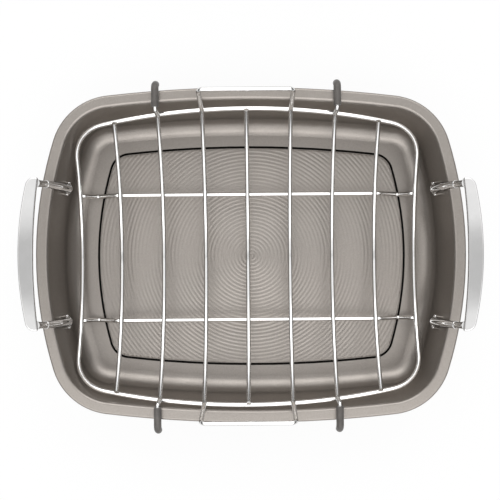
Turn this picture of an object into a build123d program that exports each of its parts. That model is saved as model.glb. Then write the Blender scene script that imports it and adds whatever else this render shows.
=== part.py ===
from build123d import *
import os
from math import asin, atan, atan2, cos, degrees, pi, radians, sin, sqrt

# Roasting pan with a lift-out wire rack, in millimetres.
# The origin is the centre of the pan's underside, on its surface. +X runs along the pan
# to the right handle, +Y to the rear and +Z up.

# Rim and walls of the pan
rim_half_length = 215.5
rim_half_width = 168.0
rim_end_bow_radius = 392.0
rim_side_bow_radius = 1250.0
rim_corner_radius = 63.5
pan_height = 81.2
sheet = 1.2
flange_width = 12.0
flange_lip_drop = 4.6
flange_lip_bend_radius = 2.2
rim_bend_radius = 3.0
end_wall_run = 8.0
side_wall_run = 12.0
floor_corner_radius = 28.0
base_bend_radius = 16.5

# Outline groove in the floor
groove_inset = 49.8
groove_corner_radius = 22.0
groove_width = 2.4
groove_depth = 0.7

# Clearances
seat_gap = 0.2
rest_gap = 0.3
bore_clearance = 0.05
weld_gap = 0.1
cut_overrun = 1.0

# Handle feet and posts, the right rear one
foot_depth = 32.0
foot_y = 69.5
foot_radius = 7.7
foot_lobe_count = 6
foot_lobe_radius = 2.6
foot_thickness = 6.6
foot_edge_radius = 1.8
foot_dome_radius = 4.6
foot_stand = 5.0
post_knee_drop = 1.0
post_knee_run = 3.3
post_top_rise = 24.0
post_top_run = 10.2
stem_root_radius = 4.5
stem_knee_radius = 4.2
post_top_radius = 3.3
spigot_radius = 2.0
spigot_length = 8.5

# Collar rings
collar_radius = 3.9
collar_height = 2.8
collar_edge_radius = 0.9

# Grips
grip_rise = 55.0
grip_strap_thickness = 4.2
grip_strap_edge_radius = 1.2
grip_inner_x = 206.2
grip_inner_sag = 4.7
grip_middle_width = 14.5
grip_end_width = 10.3
grip_half_length = 73.0
grip_shoulder_share = 0.92
grip_corner_share = 0.18
leg_edge_inset = 3.1
leg_end_inset = 5.4
leg_base_radius = 3.5
leg_head_radius = 4.6
leg_waist_radius = 3.2
leg_waist_share = 0.45

# Handle screws and washers
screw_radius = 2.0
screw_depth = 5.0
screw_hole_radius = 2.2
screw_head_radius = 4.0
screw_head_height = 2.4
screw_head_edge_radius = 1.0
screw_socket_sides = 6
screw_socket_radius = 1.6
screw_socket_depth = 1.3
washer_radius = 5.5
washer_thickness = 0.8

# Rack: where it lies in the pan, and its wires
rack_shift_x = -3.5
rack_shift_y = -1.6
rack_turn = 0.5
wire_radius = 2.2
loop_wire_radius = 2.5
wire_bend_radius = 200.0
wire_low_height = 18.2
outer_wire_steps = 3
hook_wire_steps = 2
end_wire_space = 43.0
wire_end_overhang = 1.6
loop_half_length = 176.8
loop_half_width = 148.8
loop_side_bow_radius = 589.0
loop_corner_radius = 40.0
loop_side_arcs = 2
loop_corner_arcs = 3

# Hooks and sleeves
hook_start_y = 141.0
hook_lean = 1.7
hook_lean_start = 1.5
hook_lean_radius = 8.0
hook_shoulder_y = 147.3
hook_shoulder_radius = 4.5
hook_tip_y = 170.6
hook_tip_bend_radius = 5.5
hook_tip_length = 7.9
hook_tip_splay = 19.0
sleeve_radius = 3.8
sleeve_start_y = 149.9
sleeve_bore_clearance = 0.1

# Lifting bars
lift_start_y = 144.6
lift_rise = 38.0
lift_bar_y = 160.8
lift_splay = 1.6
lift_bend_radius = 6.0
lift_corner_radius = 5.0

# Long wires with their feet
long_wire_y = 66.1
foot_inset = 16.4
foot_ramp_length = 20.9
foot_shoulder_radius = 8.0
foot_bend_radius = 4.5
long_end_inset = 0.6
long_end_straight = 3.0


def bowed_outline(end_inset, side_inset, corner_radius):
    """Sketch the rim's bowed outline, drawn in by the two insets."""
    end_centre_x = rim_half_length - rim_end_bow_radius
    side_centre_y = rim_half_width - rim_side_bow_radius
    with Locations((end_centre_x, 0)):
        Circle(rim_end_bow_radius - end_inset)
    with Locations((-end_centre_x, 0)):
        Circle(rim_end_bow_radius - end_inset, mode=Mode.INTERSECT)
    for y in (side_centre_y, -side_centre_y):
        with Locations((0, y)):
            Circle(rim_side_bow_radius - side_inset, mode=Mode.INTERSECT)
    fillet(vertices(), corner_radius)


def sweep_wire(route, radius, mode=Mode.ADD):
    """Sweep a round wire along a route."""
    path = route.wires()[0]
    with BuildSketch(Plane(origin=path @ 0, z_dir=path % 0)) as section:
        Circle(radius)
    sweep(sections=section.sketch, path=path, mode=mode)


def save(piece, name):
    """Label a finished piece and write it under its name."""
    piece.label = name
    export_step(piece, f"parts/{name}.step")


os.makedirs("parts", exist_ok=True)

# The end wall where the right rear handle foot sits: it leans out and is bowed in plan,
# so the foot's plane faces inwards and a little up.
wall_bow_centre_x = rim_half_length - rim_end_bow_radius
wall_lean = end_wall_run / (pan_height - sheet)
wall_tilt = atan(wall_lean)
foot_wall_radius = rim_end_bow_radius - flange_width - wall_lean * foot_depth
foot_turn = asin(foot_y / foot_wall_radius)
foot_inward = Vector(
    -cos(wall_tilt) * cos(foot_turn),
    -cos(wall_tilt) * sin(foot_turn),
    sin(wall_tilt),
)
foot_point = Vector(
    wall_bow_centre_x + foot_wall_radius * cos(foot_turn),
    foot_y,
    pan_height - foot_depth,
)
foot_plane = Plane(
    origin=foot_point,
    x_dir=(-sin(foot_turn), cos(foot_turn), 0),
    z_dir=foot_inward,
)
foot_axis = Axis(foot_point, foot_inward)
wall_thickness = sheet * cos(wall_tilt)


# The pan's hollow, with its base bend
with BuildPart() as pan_hollow:
    with BuildSketch(Plane.XY.offset(sheet)):
        bowed_outline(
            flange_width + end_wall_run,
            flange_width + side_wall_run,
            floor_corner_radius,
        )
    with BuildSketch(Plane.XY.offset(pan_height)):
        bowed_outline(flange_width, flange_width, rim_corner_radius - flange_width)
    loft(ruled=True)
    fillet(pan_hollow.edges().group_by(Axis.Z)[0], base_bend_radius)

# One screw hole through an end wall, the right rear one
with BuildPart() as screw_hole:
    with BuildSketch(foot_plane.offset(cut_overrun)):
        Circle(screw_hole_radius)
    extrude(amount=-wall_thickness - 2 * cut_overrun)

# Pan body: flange and lip, outer wall, hollow, rim bend, groove and screw holes
with BuildPart() as pan_body:
    with BuildSketch(Plane.XY.offset(pan_height - flange_lip_drop)):
        bowed_outline(0, 0, rim_corner_radius)
    extrude(amount=flange_lip_drop)
    fillet(pan_body.edges().group_by(Axis.Z)[-1], flange_lip_bend_radius)
    with BuildSketch(Plane.XY.offset(pan_height - flange_lip_drop)):
        bowed_outline(sheet, sheet, rim_corner_radius - sheet)
    extrude(amount=flange_lip_drop - sheet, mode=Mode.SUBTRACT)
    underside = pan_body.faces().filter_by(Axis.Z).sort_by(Axis.Z)[-2]
    fillet(underside.edges(), flange_lip_bend_radius - sheet)
    with BuildSketch(Plane.XY):
        bowed_outline(
            flange_width + end_wall_run - sheet,
            flange_width + side_wall_run - sheet,
            floor_corner_radius + sheet,
        )
    with BuildSketch(Plane.XY.offset(pan_height - sheet)):
        bowed_outline(
            flange_width - sheet,
            flange_width - sheet,
            rim_corner_radius - flange_width + sheet,
        )
    loft(ruled=True)
    fillet(pan_body.edges().group_by(Axis.Z)[0], base_bend_radius + sheet)
    underside = pan_body.faces().filter_by(Axis.Z).sort_by(Axis.Z)[-2]
    fillet(underside.inner_wires()[0].edges(), rim_bend_radius - sheet)
    add(pan_hollow.part, mode=Mode.SUBTRACT)
    flange_face = pan_body.faces().sort_by(Axis.Z)[-1]
    fillet(flange_face.inner_wires()[0].edges(), rim_bend_radius)
    with BuildSketch(Plane.XY.offset(sheet)):
        bowed_outline(groove_inset, groove_inset, groove_corner_radius)
    extrude(amount=-groove_depth, mode=Mode.SUBTRACT)
    plate_inset = groove_inset + groove_width
    with BuildSketch(Plane.XY.offset(sheet - groove_depth)):
        bowed_outline(plate_inset, plate_inset, groove_corner_radius - groove_width)
    extrude(amount=groove_depth)
    for about in ((), (Plane.XZ,), (Plane.YZ,), (Plane.XZ, Plane.YZ)):
        hole = screw_hole.part
        for plane in about:
            hole = hole.mirror(plane)
        add(hole, mode=Mode.SUBTRACT)
save(pan_body.part, "pan_body")

# Centre line of the right rear handle post, from its dome up over the rim to the grip leg
dome_centre = foot_point + foot_inward * foot_stand
knee_height = pan_height - post_knee_drop
knee = Vector(dome_centre.X + post_knee_run, dome_centre.Y, knee_height)
post_top = Vector(
    dome_centre.X + post_top_run,
    dome_centre.Y,
    pan_height + post_top_rise,
)
post_direction = (post_top - knee).normalized()
post_end_plane = Plane(origin=post_top, z_dir=post_direction)
leg_base = post_top + post_direction * collar_height
grip_underside = pan_height + grip_rise - grip_strap_thickness
grip_inner_end_x = grip_inner_x - grip_inner_sag
leg_top = Vector(
    grip_inner_end_x + leg_edge_inset,
    grip_half_length - leg_end_inset,
    grip_underside,
)

# The lobed foot of the right rear post
with BuildPart() as post_foot:
    with BuildSketch(foot_plane.offset(seat_gap)):
        Circle(foot_radius - foot_lobe_radius / 2)
        with PolarLocations(foot_radius - foot_lobe_radius, foot_lobe_count):
            Circle(foot_lobe_radius)
    extrude(amount=foot_thickness)
    fillet(post_foot.faces().sort_by(foot_axis)[-1].edges(), foot_edge_radius)

# Handle post, the right rear one: lobed foot, dome, stem and the spigot on its top
with BuildPart() as post:
    add(post_foot.part)
    stem_root_direction = (knee - dome_centre).normalized()
    dome_plane = Plane(origin=dome_centre, x_dir=(0, 1, 0), z_dir=stem_root_direction)
    with Locations(Location(dome_plane)):
        Sphere(foot_dome_radius)
    for point, direction, radius in (
        (dome_centre, stem_root_direction, stem_root_radius),
        (knee, stem_root_direction + post_direction, stem_knee_radius),
        (post_top, post_direction, post_top_radius),
    ):
        with BuildSketch(Plane(origin=point, x_dir=(0, 1, 0), z_dir=direction)):
            Circle(radius)
    loft(ruled=True)
    with BuildSketch(post_end_plane):
        Circle(spigot_radius)
    extrude(amount=spigot_length)
    with BuildSketch(foot_plane):
        Circle(screw_radius + bore_clearance)
    extrude(amount=screw_depth + rest_gap, mode=Mode.SUBTRACT)

# Collar ring between the post and the grip leg
with BuildPart() as collar:
    with BuildSketch(post_end_plane):
        Circle(collar_radius)
        Circle(spigot_radius + bore_clearance, mode=Mode.SUBTRACT)
    extrude(amount=collar_height)
    outer_edges = [
        edge
        for edge in collar.edges().filter_by(GeomType.CIRCLE)
        if edge.radius > spigot_radius + 2 * bore_clearance
    ]
    fillet(outer_edges, collar_edge_radius)

# Right grip: a crescent strap with a waisted leg under each end
grip_outer_x = grip_inner_x + grip_middle_width
grip_outer_sag = grip_outer_x - grip_inner_end_x - grip_end_width
grip_outer_bow_radius = (grip_half_length**2 / grip_outer_sag + grip_outer_sag) / 2
grip_inner_bow_radius = (grip_half_length**2 / grip_inner_sag + grip_inner_sag) / 2
with BuildPart() as right_grip:
    with BuildSketch(Plane.XY.offset(grip_underside)):
        with Locations((grip_outer_x - grip_outer_bow_radius, 0)):
            Circle(grip_outer_bow_radius)
        with Locations((grip_inner_x, 0)):
            Rectangle(
                2 * (grip_middle_width + cut_overrun),
                2 * grip_half_length,
                mode=Mode.INTERSECT,
            )
        shoulders = vertices().group_by(Axis.X)[-1]
        fillet(shoulders, grip_shoulder_share * grip_end_width)
        with Locations((grip_inner_x - grip_inner_bow_radius, 0)):
            Circle(grip_inner_bow_radius, mode=Mode.SUBTRACT)
        inner_corners = vertices().group_by(Axis.X)[0]
        fillet(inner_corners, grip_corner_share * grip_end_width)
    extrude(amount=grip_strap_thickness)
    fillet(right_grip.faces().filter_by(Axis.Z).edges(), grip_strap_edge_radius)
    leg_direction = (leg_top - leg_base).normalized()
    leg_waist = leg_base + (leg_top - leg_base) * leg_waist_share
    leg_head = leg_top + Vector(0, 0, grip_strap_edge_radius)
    with BuildSketch(Plane(origin=leg_base, z_dir=post_direction)):
        Circle(leg_base_radius)
    with BuildSketch(Plane(origin=leg_waist, x_dir=(0, 1, 0), z_dir=leg_direction)):
        Circle(leg_waist_radius)
    with BuildSketch(Plane.XY.offset(leg_head.Z)):
        with Locations((leg_head.X, leg_head.Y)):
            Circle(leg_head_radius)
    loft()
    with BuildSketch(Plane(origin=leg_base, z_dir=post_direction)):
        Circle(spigot_radius + bore_clearance)
    extrude(amount=spigot_length - collar_height + rest_gap, mode=Mode.SUBTRACT)
    mirror(about=Plane.XZ)

# Screw and washer at the right rear foot, outside the wall
washer_plane = foot_plane.offset(-wall_thickness - seat_gap)
head_plane = washer_plane.offset(-washer_thickness)
with BuildPart() as washer:
    with BuildSketch(washer_plane):
        Circle(washer_radius)
        Circle(screw_hole_radius, mode=Mode.SUBTRACT)
    extrude(amount=-washer_thickness)
with BuildPart() as screw:
    with BuildSketch(head_plane):
        Circle(screw_head_radius)
    extrude(amount=-screw_head_height)
    fillet(screw.edges().sort_by(foot_axis)[0], screw_head_edge_radius)
    with BuildSketch(head_plane.offset(-screw_head_height)):
        RegularPolygon(screw_socket_radius, side_count=screw_socket_sides)
    extrude(amount=screw_socket_depth, mode=Mode.SUBTRACT)
    with BuildSketch(head_plane):
        Circle(screw_radius)
    extrude(amount=washer_thickness + seat_gap + wall_thickness + screw_depth)

# The four handle corners and both grips
corner_mirrors = {
    "right_rear": (),
    "right_front": (Plane.XZ,),
    "left_rear": (Plane.YZ,),
    "left_front": (Plane.YZ, Plane.XZ),
}


def mirrored(piece, planes):
    """A copy of a piece turned over each plane in order."""
    for plane in planes:
        piece = piece.mirror(plane)
    return piece


screws = []
washers = []
for corner, planes in corner_mirrors.items():
    save(mirrored(post.part, planes), f"{corner}_post")
    save(mirrored(collar.part, planes), f"{corner}_collar")
    screws.append(mirrored(screw.part, planes))
    washers.append(mirrored(washer.part, planes))
save(Compound(children=screws), "handle_screws")
save(Compound(children=washers), "screw_washers")
save(right_grip.part, "right_grip")
save(mirrored(right_grip.part, (Plane.YZ,)), "left_grip")

# Rack frame: shifted and turned a little in the pan. Its wires are bent round one axis
# along the rack, the cross wires inside the loop wire and the long wires outside them.
turn = radians(rack_turn)
rack_plane = Plane(
    origin=(rack_shift_x, rack_shift_y, 0),
    x_dir=(cos(turn), sin(turn), 0),
    z_dir=(0, 0, 1),
)
rack_side_plane = Plane(origin=rack_plane.origin, z_dir=rack_plane.x_dir)
rack_middle_plane = Plane(origin=rack_plane.origin, z_dir=rack_plane.y_dir)
bend_axis_height = wire_low_height + wire_bend_radius
wire_pitch = (loop_half_length - end_wire_space) / outer_wire_steps
loop_bend_radius = wire_bend_radius + wire_radius + loop_wire_radius + weld_gap
long_bend_radius = wire_bend_radius + 2 * wire_radius + weld_gap


def rack_point(x, y, z):
    """A point given in the rack's frame."""
    return rack_plane.from_local_coords(Vector(x, y, z))


def rack_direction(x, y, z):
    """A direction given in the rack's frame."""
    return rack_point(x, y, z) - rack_point(0, 0, 0)


def cross_plane(x):
    """The upright plane across the rack at x, with the rack's Y and Z in it."""
    return Plane(
        origin=rack_point(x, 0, 0),
        x_dir=rack_plane.y_dir,
        z_dir=rack_plane.x_dir,
    )


def bent_point(x, run):
    """A point of the flat loop's outline after it is bent round the axis."""
    angle = run / loop_bend_radius
    return rack_point(
        x,
        loop_bend_radius * sin(angle),
        bend_axis_height - loop_bend_radius * cos(angle),
    )


def bent_direction(dx, drun, run):
    """A direction of the flat loop's outline after it is bent round the axis."""
    angle = run / loop_bend_radius
    return rack_direction(dx, drun * cos(angle), drun * sin(angle))


def biarc(start, start_direction, end, end_direction):
    """Two arcs in line with each other and with both end directions."""
    gap = end - start
    both = start_direction + end_direction
    along = gap.dot(both)
    reach = gap.dot(gap) / (
        along + sqrt(along**2 + (4 - both.dot(both)) * gap.dot(gap))
    )
    first = start + start_direction * reach
    second = end - end_direction * reach
    middle = (first + second) / 2
    TangentArc(start, middle, tangent=start_direction)
    TangentArc(middle, end, tangent=(second - first).normalized())


# Flat outline of the loop: a bowed long side, a corner arc and a straight short side
loop_middle_run = loop_bend_radius * asin(loop_half_width / loop_bend_radius)
side_bow_run = loop_middle_run - loop_side_bow_radius
corner_x = loop_half_length - loop_corner_radius
corner_run = side_bow_run + sqrt(
    (loop_side_bow_radius - loop_corner_radius) ** 2 - corner_x**2
)
corner_start = atan2(corner_x, corner_run - side_bow_run)


def side_run(x):
    """How far round the bend the loop's long side lies at x."""
    return side_bow_run + sqrt(loop_side_bow_radius**2 - x**2)


def loop_station(angle):
    """Point and direction on the loop where its flat outline faces this angle."""
    if angle <= corner_start:
        x = loop_side_bow_radius * sin(angle)
        run = side_bow_run + loop_side_bow_radius * cos(angle)
    else:
        x = corner_x + loop_corner_radius * sin(angle)
        run = corner_run + loop_corner_radius * cos(angle)
    return bent_point(x, run), bent_direction(cos(angle), -sin(angle), run)


# Rack loop: one quarter of it, mirrored twice
corner_turn = pi / 2 - corner_start
station_angles = [arc * corner_start / loop_side_arcs for arc in range(loop_side_arcs)]
for arc in range(loop_corner_arcs + 1):
    station_angles.append(corner_start + arc * corner_turn / loop_corner_arcs)
with BuildPart() as rack_loop:
    with BuildLine() as quarter:
        stations = [loop_station(angle) for angle in station_angles]
        for (start, heading), (end, end_heading) in zip(stations, stations[1:]):
            biarc(start, heading, end, end_heading)
        low_point = bent_point(loop_half_length, 0)
        TangentArc(stations[-1][0], low_point, tangent=stations[-1][1])
    sweep_wire(quarter, loop_wire_radius)
    mirror(about=rack_side_plane)
    mirror(about=rack_middle_plane)
save(rack_loop.part, "rack_loop")

# Cross wires that end on the loop
for name, x in (
    ("cross_wire_left", -outer_wire_steps * wire_pitch),
    ("cross_wire_middle", 0),
    ("cross_wire_right", outer_wire_steps * wire_pitch),
):
    half_turn = degrees(
        side_run(x) / loop_bend_radius + wire_end_overhang / wire_bend_radius
    )
    with BuildPart() as cross_wire:
        with BuildLine(cross_plane(x)) as bend:
            CenterArc(
                (0, bend_axis_height),
                wire_bend_radius,
                270 - half_turn,
                2 * half_turn,
            )
        sweep_wire(bend, wire_radius)
    save(cross_wire.part, name)


def wire_height(y):
    """Height of a cross wire's centre line at y."""
    return bend_axis_height - sqrt(wire_bend_radius**2 - y**2)


# Hook wires: up past the loop, level over the rim and down outside it, with a sleeve
hook_height = pan_height + rest_gap + sleeve_radius
hook_start_height = wire_height(hook_start_y)
hook_slope = hook_start_y / (bend_axis_height - hook_start_height)
hook_lean_y = hook_start_y + hook_lean_start
hook_lean_height = hook_start_height + hook_lean_start * hook_slope
hook_bends = [hook_lean_radius, hook_shoulder_radius, hook_tip_bend_radius]


def hook_end(x, start_y, tip_length=hook_tip_length):
    """Points of one hook's end, over the rim and down to the tip."""
    lean = hook_lean if x > 0 else -hook_lean
    splay = radians(hook_tip_splay)
    tip_y = hook_tip_y + tip_length * sin(splay)
    tip_height = hook_height - tip_length * cos(splay)
    return [
        rack_point(x + lean, start_y, hook_height),
        rack_point(x + lean, hook_tip_y, hook_height),
        rack_point(x + lean, tip_y, tip_height),
    ]


for side, x in (
    ("left", -hook_wire_steps * wire_pitch),
    ("right", hook_wire_steps * wire_pitch),
):
    with BuildPart() as hook_wire:
        with BuildLine() as hook_half:
            low_point = rack_point(x, 0, wire_low_height)
            riser_start = rack_point(x, hook_start_y, hook_start_height)
            TangentArc(low_point, riser_start, tangent=rack_direction(0, 1, 0))
            lean_start = rack_point(x, hook_lean_y, hook_lean_height)
            over_rim = hook_end(x, hook_shoulder_y)
            FilletPolyline(riser_start, lean_start, *over_rim, radius=hook_bends)
        sweep_wire(hook_half, wire_radius)
        mirror(about=rack_middle_plane)
    save(hook_wire.part, f"hook_wire_{side}")
    with BuildPart() as sleeve:
        with BuildLine() as outer:
            FilletPolyline(*hook_end(x, sleeve_start_y), radius=hook_tip_bend_radius)
        sweep_wire(outer, sleeve_radius)
        with Locations(hook_end(x, sleeve_start_y)[-1]):
            Sphere(sleeve_radius)
        with BuildLine() as bore:
            bore_start_y = sleeve_start_y - cut_overrun
            bore_length = hook_tip_length + rest_gap
            FilletPolyline(
                *hook_end(x, bore_start_y, bore_length),
                radius=hook_tip_bend_radius,
            )
        sweep_wire(bore, wire_radius + sleeve_bore_clearance, mode=Mode.SUBTRACT)
    save(sleeve.part, f"sleeve_{side}_rear")
    save(sleeve.part.mirror(rack_middle_plane), f"sleeve_{side}_front")

# Lift wire: two cross wires and both lifting bars in one closed wire
lift_start_height = wire_height(lift_start_y)
lift_slope = lift_start_y / (bend_axis_height - lift_start_height)
with BuildPart() as lift_wire:
    with BuildLine() as lift_quarter:
        low_point = rack_point(wire_pitch, 0, wire_low_height)
        riser_start = rack_point(wire_pitch, lift_start_y, lift_start_height)
        bend_y = lift_start_y + lift_bend_radius / 2
        bend_height = lift_start_height + lift_slope * lift_bend_radius / 2
        bar_height = pan_height + lift_rise
        TangentArc(low_point, riser_start, tangent=rack_direction(0, 1, 0))
        FilletPolyline(
            riser_start,
            rack_point(wire_pitch, bend_y, bend_height),
            rack_point(wire_pitch + lift_splay, lift_bar_y, bar_height),
            rack_point(0, lift_bar_y, bar_height),
            radius=[lift_bend_radius, lift_corner_radius],
        )
    sweep_wire(lift_quarter, wire_radius)
    mirror(about=rack_side_plane)
    mirror(about=rack_middle_plane)
save(lift_wire.part, "lift_wire")

# Long wires: straight under the cross wires, a foot near each end, then up to the loop
long_wire_height = bend_axis_height - sqrt(long_bend_radius**2 - long_wire_y**2)
foot_height = sheet + rest_gap + wire_radius
end_x = loop_half_length - long_end_inset
foot_x = loop_half_length - foot_inset
loop_angle = asin(long_wire_y / loop_bend_radius)
loop_height = bend_axis_height - loop_bend_radius * cos(loop_angle)
end_drop = (loop_wire_radius + wire_radius + weld_gap) / cos(loop_angle)
with BuildPart() as long_wire:
    with BuildLine() as long_half:
        FilletPolyline(
            rack_point(0, long_wire_y, long_wire_height),
            rack_point(foot_x - foot_ramp_length, long_wire_y, long_wire_height),
            rack_point(foot_x, long_wire_y, foot_height),
            rack_point(end_x - long_end_straight, long_wire_y, loop_height - end_drop),
            rack_point(end_x, long_wire_y, loop_height - end_drop),
            radius=[foot_shoulder_radius, foot_bend_radius, foot_bend_radius],
        )
    sweep_wire(long_half, wire_radius)
    mirror(about=rack_side_plane)
save(long_wire.part, "long_wire_rear")
save(long_wire.part.mirror(rack_middle_plane), "long_wire_front")
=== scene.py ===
import math

import bmesh
import bpy
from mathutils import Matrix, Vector


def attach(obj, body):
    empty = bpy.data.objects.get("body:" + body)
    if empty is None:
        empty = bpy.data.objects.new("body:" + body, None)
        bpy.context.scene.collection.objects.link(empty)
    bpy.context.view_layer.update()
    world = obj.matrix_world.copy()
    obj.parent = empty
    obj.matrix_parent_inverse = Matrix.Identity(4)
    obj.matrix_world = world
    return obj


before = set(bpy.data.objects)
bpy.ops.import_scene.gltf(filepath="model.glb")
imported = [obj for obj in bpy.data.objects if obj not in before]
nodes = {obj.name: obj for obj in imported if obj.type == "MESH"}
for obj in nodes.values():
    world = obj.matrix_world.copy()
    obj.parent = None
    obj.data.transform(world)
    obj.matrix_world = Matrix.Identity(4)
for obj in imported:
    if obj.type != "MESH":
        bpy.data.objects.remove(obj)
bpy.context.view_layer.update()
scene = bpy.context.scene
scene.view_settings.view_transform = "Standard"

MM = 0.001


# ---------------------------------------------------------------- node helpers
# The colour sockets of a Mix node, which share their names with its other sockets.
MIX_FIRST, MIX_SECOND, MIX_RESULT = 6, 7, 2


def add(tree, kind, sockets=None, **settings):
    """A node with its settings, and its sockets given plain values or linked to sources."""
    node = tree.nodes.new(kind)
    for key, value in settings.items():
        setattr(node, key, value)
    for key, value in (sockets or {}).items():
        if isinstance(value, bpy.types.NodeSocket):
            tree.links.new(value, node.inputs[key])
        else:
            node.inputs[key].default_value = value
    return node


def math_node(tree, operation, *values):
    """A math node over sockets or numbers."""
    return add(tree, "ShaderNodeMath", dict(enumerate(values)), operation=operation).outputs[0]


def product(tree, first, *others):
    """The product of several sockets."""
    for other in others:
        first = math_node(tree, "MULTIPLY", first, other)
    return first


def band(tree, source, low, high, before, after):
    """A smooth step: one level before the low end of a source, another after its high end."""
    sockets = {
        "Value": source,
        "From Min": low,
        "From Max": high,
        "To Min": before,
        "To Max": after,
    }
    node = add(tree, "ShaderNodeMapRange", sockets, interpolation_type="SMOOTHSTEP")
    return node.outputs["Result"]


def mix_colours(tree, factor, first, second, blend_type="MIX"):
    """The second colour laid over the first."""
    sockets = {"Factor": factor, MIX_FIRST: first, MIX_SECOND: second}
    node = add(tree, "ShaderNodeMix", sockets, data_type="RGBA", blend_type=blend_type)
    return node.outputs[MIX_RESULT]


def noise(tree, place, scale, detail=2.0):
    """Noise over the surface, 0 to 1, at a scale per metre."""
    sockets = {"Vector": place, "Scale": scale, "Detail": detail}
    return add(tree, "ShaderNodeTexNoise", sockets).outputs["Fac"]


def ramp(tree, source, low, high):
    """A colour ramp over a 0 to 1 source, between two stops of a position and a colour."""
    node = add(tree, "ShaderNodeValToRGB", {"Fac": source})
    for element, (position, colour) in zip(node.color_ramp.elements, (low, high)):
        element.position = position
        element.color = (*colour, 1.0)
    return node.outputs["Color"]


def grey(level):
    """An even colour, or an even roughness on its way through a ramp."""
    return (level, level, level)


def bump(tree, height, strength, distance):
    """A bump normal from a height, over a distance in metres."""
    sockets = {"Height": height, "Strength": strength, "Distance": distance}
    return add(tree, "ShaderNodeBump", sockets).outputs["Normal"]


def new_material(name):
    """An empty node material and its tree."""
    material = bpy.data.materials.new(name)
    material.use_nodes = True
    material.node_tree.nodes.clear()
    return material, material.node_tree


def object_place(tree):
    """The surface point in the object's own metres."""
    return add(tree, "ShaderNodeTexCoord").outputs["Object"]


def set_surface(tree, shader):
    """Join a shader to the output of its material."""
    add(tree, "ShaderNodeOutputMaterial", {"Surface": shader.outputs[0]})


def principled(tree, sockets):
    """The surface of a material, as a Principled shader."""
    set_surface(tree, add(tree, "ShaderNodeBsdfPrincipled", sockets))


# ---------------------------------------------------------------- materials
# The outline groove of the pan's floor lies inside this box and between these heights, in metres.
GROOVE_HALF_LENGTH = 0.170
GROOVE_HALF_WIDTH = 0.1225
GROOVE_LOW = 0.0003
GROOVE_HIGH = 0.00112
# Painted shade: a near-black colour for the groove, standing in for the shade in its narrow
# recess.
GROOVE_SHADE_COLOUR = (0.004, 0.0035, 0.003, 1.0)

# The darker patches of plated metal, as a share of its tone.
PLATED_SHADE = 0.95


def groove_shade_mask(tree, place):
    """1 inside the outline groove, 0 outside it: where the groove's painted shade goes."""
    x, y, z = add(tree, "ShaderNodeSeparateXYZ", {"Vector": place}).outputs
    return product(
        tree,
        math_node(tree, "LESS_THAN", math_node(tree, "ABSOLUTE", x), GROOVE_HALF_LENGTH),
        math_node(tree, "LESS_THAN", math_node(tree, "ABSOLUTE", y), GROOVE_HALF_WIDTH),
        math_node(tree, "GREATER_THAN", z, GROOVE_LOW),
        math_node(tree, "LESS_THAN", z, GROOVE_HIGH),
    )


def pan_coating(name, groove):
    """Grey metallic nonstick with a satin flake, and with painted shade darkening the groove
    where one is asked.
    """
    material, tree = new_material(name)
    place = object_place(tree)
    flake = noise(tree, place, scale=1900.0, detail=1.0)
    fleck = ramp(tree, flake, (0.30, (0.292, 0.268, 0.247)), (0.72, (0.388, 0.357, 0.330)))
    cloud = noise(tree, place, scale=9.0, detail=3.0)
    tone = ramp(tree, cloud, (0.25, grey(0.93)), (0.75, (1.0, 0.995, 0.985)))
    colour = mix_colours(tree, 1.0, fleck, tone, blend_type="MULTIPLY")
    if groove:
        # Painted shade: the groove's surface is turned near black, for the shade that falls in
        # it.
        colour = mix_colours(tree, groove_shade_mask(tree, place), colour, GROOVE_SHADE_COLOUR)
    rough = ramp(tree, noise(tree, place, scale=260.0), (0.3, grey(0.33)), (0.7, grey(0.39)))
    principled(
        tree,
        {
            "Base Color": colour,
            "Metallic": 0.84,
            "Specular Tint": (0.45, 0.435, 0.42, 1.0),
            "Roughness": rough,
            "Normal": bump(tree, flake, strength=0.12, distance=0.00015),
        },
    )
    return material


def plated(name, tone, rough_low, rough_high, ripple):
    """Bright metal with faint unevenness, a ripple in metres and fine polishing marks."""
    material, tree = new_material(name)
    place = object_place(tree)
    marks = noise(tree, place, scale=420.0)
    patches = noise(tree, place, scale=60.0)
    wave = noise(tree, place, scale=90.0, detail=1.0)
    shade = tuple(PLATED_SHADE * t for t in tone)
    principled(
        tree,
        {
            "Base Color": ramp(tree, patches, (0.3, shade), (0.7, tone)),
            "Metallic": 1.0,
            "Specular Tint": (0.5, 0.495, 0.49, 1.0),
            "Roughness": ramp(tree, marks, (0.3, grey(rough_low)), (0.75, grey(rough_high))),
            "Normal": bump(tree, wave, strength=0.25, distance=ripple),
        },
    )
    return material


def silicone(name):
    """Matt dark silicone with a fine moulded grain and a dusty sheen."""
    material, tree = new_material(name)
    place = object_place(tree)
    grain = noise(tree, place, scale=1500.0, detail=3.0)
    dust = noise(tree, place, scale=120.0, detail=3.0)
    tone = ramp(tree, dust, (0.3, (0.066, 0.060, 0.055)), (0.7, (0.104, 0.095, 0.088)))
    principled(
        tree,
        {
            "Base Color": tone,
            "Roughness": 0.52,
            "Sheen Weight": 0.15,
            "Sheen Roughness": 0.5,
            "Normal": bump(tree, grain, strength=0.3, distance=0.0002),
        },
    )
    return material


coating = pan_coating("pan_coating", groove=True)
ring_coating = pan_coating("ring_coating", groove=False)
wire_chrome = plated(
    "wire_chrome", (0.93, 0.925, 0.915), rough_low=0.06, rough_high=0.12, ripple=0.00005
)
handle_chrome = plated(
    "handle_chrome", (0.94, 0.935, 0.93), rough_low=0.03, rough_high=0.07, ripple=0.00002
)
screw_steel = plated(
    "screw_steel", (0.62, 0.61, 0.60), rough_low=0.22, rough_high=0.34, ripple=0.0001
)
sleeve_silicone = silicone("sleeve_silicone")

for name, node in nodes.items():
    if name == "pan_body":
        material = coating
    elif name.startswith("sleeve"):
        material = sleeve_silicone
    elif name in ("handle_screws", "screw_washers"):
        material = screw_steel
    elif name.endswith(("_post", "_collar", "_grip")):
        material = handle_chrome
    else:
        material = wire_chrome
    for slot in node.material_slots:
        slot.link = "OBJECT"
        slot.material = material


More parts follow.
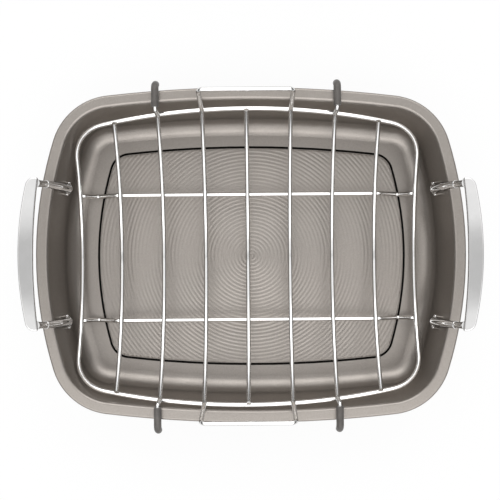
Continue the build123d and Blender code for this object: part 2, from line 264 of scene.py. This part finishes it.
# ---------------------------------------------------------------- pieces
def mesh_object(name, verts, faces, material, smooth=True):
    """A mesh piece with outward normals."""
    mesh = bpy.data.meshes.new(name)
    mesh.from_pydata(verts, [], faces)
    piece = bpy.data.objects.new(name, mesh)
    scene.collection.objects.link(piece)
    mesh.materials.append(material)
    work = bmesh.new()
    work.from_mesh(mesh)
    bmesh.ops.recalc_face_normals(work, faces=work.faces)
    work.to_mesh(mesh)
    work.free()
    for polygon in mesh.polygons:
        polygon.use_smooth = smooth
    return piece


# The floor inside the outline groove carries fine concentric rings. They are a thin plate with a
# rippled top, its outline the pan's bowed rim drawn in. These lengths are in mm.
FLOOR_TOP = 1.2
RIM_HALF_LENGTH, RIM_END_BOW = 215.5, 392.0
RIM_HALF_WIDTH, RIM_SIDE_BOW = 168.0, 1250.0
RING_INSET = 52.7
RING_CORNER = 19.6
RING_PITCH = 3.9
RING_DEPTH = 0.24
RING_FADE = 1.5
PLATE_GAP = 0.02
PLATE_EDGE = 0.06

# The plate's mesh: steps in a pitch, spokes around the centre, and the least share of a step
# that is drawn at the outline.
RING_STEPS = 6
RING_SPOKES = 320
LEAST_STEP = 0.15

# The bows of the plate's outline are arcs about (END_X, 0) and (0, SIDE_Y).
END_X, END_RADIUS = RIM_HALF_LENGTH - RIM_END_BOW, RIM_END_BOW - RING_INSET
SIDE_Y, SIDE_RADIUS = RIM_HALF_WIDTH - RIM_SIDE_BOW, RIM_SIDE_BOW - RING_INSET
CORNER_SEARCH_LIMIT = 150.0
CORNER_SEARCH_STEPS = 40


def corner_centre():
    """The centre of the corner arc: where the two bows, drawn in by its radius, meet."""
    low, high = 0.0, CORNER_SEARCH_LIMIT
    for _ in range(CORNER_SEARCH_STEPS):
        y = (low + high) / 2
        x = END_X + math.sqrt((END_RADIUS - RING_CORNER) ** 2 - y * y)
        if math.hypot(x, y - SIDE_Y) < SIDE_RADIUS - RING_CORNER:
            low = y
        else:
            high = y
    return x, y


def plate_reach(angle, corner):
    """How far the plate reaches from its centre along an angle, in mm."""
    dx, dy = abs(math.cos(angle)), abs(math.sin(angle))

    def along(cx, cy, radius):
        b = dx * cx + dy * cy
        return b + math.sqrt(b * b - cx * cx - cy * cy + radius * radius)

    x, y = corner
    end_turn = math.atan2(y, x - END_X)
    side_turn = math.atan2(y - SIDE_Y, x)
    corner_start = math.atan2(
        END_RADIUS * math.sin(end_turn), END_X + END_RADIUS * math.cos(end_turn)
    )
    corner_stop = math.atan2(
        SIDE_Y + SIDE_RADIUS * math.sin(side_turn), SIDE_RADIUS * math.cos(side_turn)
    )
    if corner_start < math.atan2(dy, dx) < corner_stop:
        return along(x, y, RING_CORNER)
    return min(along(END_X, 0, END_RADIUS), along(0, SIDE_Y, SIDE_RADIUS))


def floor_rings():
    """The ringed floor, as a thin plate with a rippled top."""
    corner = corner_centre()
    angles = [2 * math.pi * i / RING_SPOKES for i in range(RING_SPOKES)]
    reaches = [plate_reach(angle, corner) for angle in angles]
    step = RING_PITCH / RING_STEPS
    count = int(max(reaches) / step) + 1
    base = FLOOR_TOP + PLATE_GAP

    def top(radius, reach):
        fade = min(1.0, (reach - radius) / RING_FADE)
        wave = 0.5 + 0.5 * math.cos(2 * math.pi * radius / RING_PITCH)
        return base + PLATE_EDGE + RING_DEPTH * wave * max(0.0, fade)

    def point(radius, angle, height):
        return Vector((radius * math.cos(angle), radius * math.sin(angle), height)) * MM

    verts = [point(0, 0, top(0, reaches[0]))]
    index = {}
    for i, (angle, reach) in enumerate(zip(angles, reaches)):
        for j in range(1, count + 1):
            # A spoke ends at the outline. What lies past it takes the last point before it.
            if (j - 1) * step >= reach - LEAST_STEP * step:
                index[i, j] = index[i, j - 1]
                continue
            radius = min(j * step, reach)
            index[i, j] = len(verts)
            verts.append(point(radius, angle, top(radius, reach)))

    pairs = [(i, (i + 1) % RING_SPOKES) for i in range(RING_SPOKES)]
    faces = []
    for i, k in pairs:
        faces.append((0, index[i, 1], index[k, 1]))
        for j in range(1, count):
            corners = (index[i, j], index[i, j + 1], index[k, j + 1], index[k, j])
            unique = tuple(dict.fromkeys(corners))
            if len(unique) >= 3:
                faces.append(unique)

    skirt = range(len(verts), len(verts) + RING_SPOKES)
    verts += [point(reach, angle, base) for angle, reach in zip(angles, reaches)]
    faces += [(index[i, count], skirt[i], skirt[k], index[k, count]) for i, k in pairs]
    faces.append(tuple(reversed(skirt)))
    return mesh_object("floor_rings", verts, faces, ring_coating)


rings = floor_rings()
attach(rings, "pan")


# ---------------------------------------------------------------- studio
# The stage floor, in metres. It lies just under the pan, so that the two never share a plane.
STAGE_HALF_SIZE = 6.0
STAGE_HEIGHT = -0.0004
PAPER_COLOUR = (0.80, 0.80, 0.80, 1.0)
# How much of the floor's white is its own. The rest of it takes the shadow.
GLOW_SHARE = 0.93

# The studio light is made of bands over the direction it comes from. Each band says where it
# starts and ends on one axis of that direction, 0 to 1, and its level before and after.
WORLD_LEVEL = 1.0
HORIZON = (0.05, 0.42, 0.12, 1.0)
# The scrim overhead: a dimmer gap along the camera, and a fade to the sides.
CAMERA_GAP = (0.02, 0.055, 0.54, 0.86)
SCRIM_SIDES = (0.62, 0.92, 1.0, 0.20)
# The softboxes to the front and the rear, moved a little to the rear.
BOX_SHIFT = 0.12
BOX_NEAR = (0.24, 0.42, 0.0, 2.0)
BOX_FAR = (0.56, 0.78, 1.0, 0.35)
BOX_SIDES = (0.35, 0.60, 1.0, 0.0)
# The weaker boxes at the two ends.
END_NEAR = (0.28, 0.42, 0.0, 0.4)
END_FAR = (0.62, 0.78, 1.0, 0.0)
END_SIDES = (0.30, 0.55, 1.0, 0.0)


def stage_floor():
    """A plain pale floor that reads white and keeps a soft shadow."""
    material, tree = new_material("studio_floor")
    rays = add(tree, "ShaderNodeLightPath").outputs
    seen = math_node(tree, "MAXIMUM", rays["Is Camera Ray"], rays["Is Glossy Ray"])
    seen = math_node(tree, "MAXIMUM", seen, rays["Is Transmission Ray"])
    share = math_node(tree, "MULTIPLY", seen, GLOW_SHARE)
    paper = add(tree, "ShaderNodeBsdfDiffuse", {"Color": PAPER_COLOUR})
    glow = add(tree, "ShaderNodeEmission", {"Strength": 1.0})
    sockets = dict(enumerate((share, paper.outputs[0], glow.outputs[0])))
    set_surface(tree, add(tree, "ShaderNodeMixShader", sockets))
    corners = [
        (x * STAGE_HALF_SIZE, y * STAGE_HALF_SIZE, STAGE_HEIGHT)
        for x, y in ((-1, -1), (1, -1), (1, 1), (-1, 1))
    ]
    floor = mesh_object("studio_floor", corners, [(0, 1, 2, 3)], material, smooth=False)


def studio_world():
    """Soft studio light: a scrim overhead, a softbox to the front and rear, and dim ends."""
    world = bpy.data.worlds.new("studio")
    scene.world = world
    world.use_nodes = True
    tree = world.node_tree
    direction = add(tree, "ShaderNodeTexCoord").outputs["Generated"]
    x, y, z = add(tree, "ShaderNodeSeparateXYZ", {"Vector": direction}).outputs
    across = math_node(tree, "ABSOLUTE", x)
    along = math_node(tree, "ABSOLUTE", y)
    shifted = math_node(tree, "ABSOLUTE", math_node(tree, "SUBTRACT", y, BOX_SHIFT))
    scrim = product(tree, band(tree, along, *CAMERA_GAP), band(tree, across, *SCRIM_SIDES))
    boxes = product(
        tree,
        band(tree, shifted, *BOX_NEAR),
        band(tree, shifted, *BOX_FAR),
        band(tree, across, *BOX_SIDES),
    )
    ends = product(
        tree,
        band(tree, across, *END_NEAR),
        band(tree, across, *END_FAR),
        band(tree, along, *END_SIDES),
    )
    lights = math_node(tree, "ADD", math_node(tree, "ADD", scrim, boxes), ends)
    total = product(tree, lights, band(tree, z, *HORIZON))
    background = tree.nodes["Background"]
    tree.links.new(total, background.inputs["Color"])
    background.inputs["Strength"].default_value = WORLD_LEVEL


stage_floor()
studio_world()


# ---------------------------------------------------------------- camera
# It looks straight down, as the photograph does, with a small lens shift.
camera_data = bpy.data.cameras.new("camera")
camera_data.sensor_width = 36.0
camera_data.lens = 72.0
camera_data.shift_x = -0.014
camera_data.shift_y = 0.0307
camera_data.clip_start = 0.05
camera = bpy.data.objects.new("camera", camera_data)
camera.location = (0.0060, -0.0105, 1.0812)
scene.collection.objects.link(camera)
scene.camera = camera
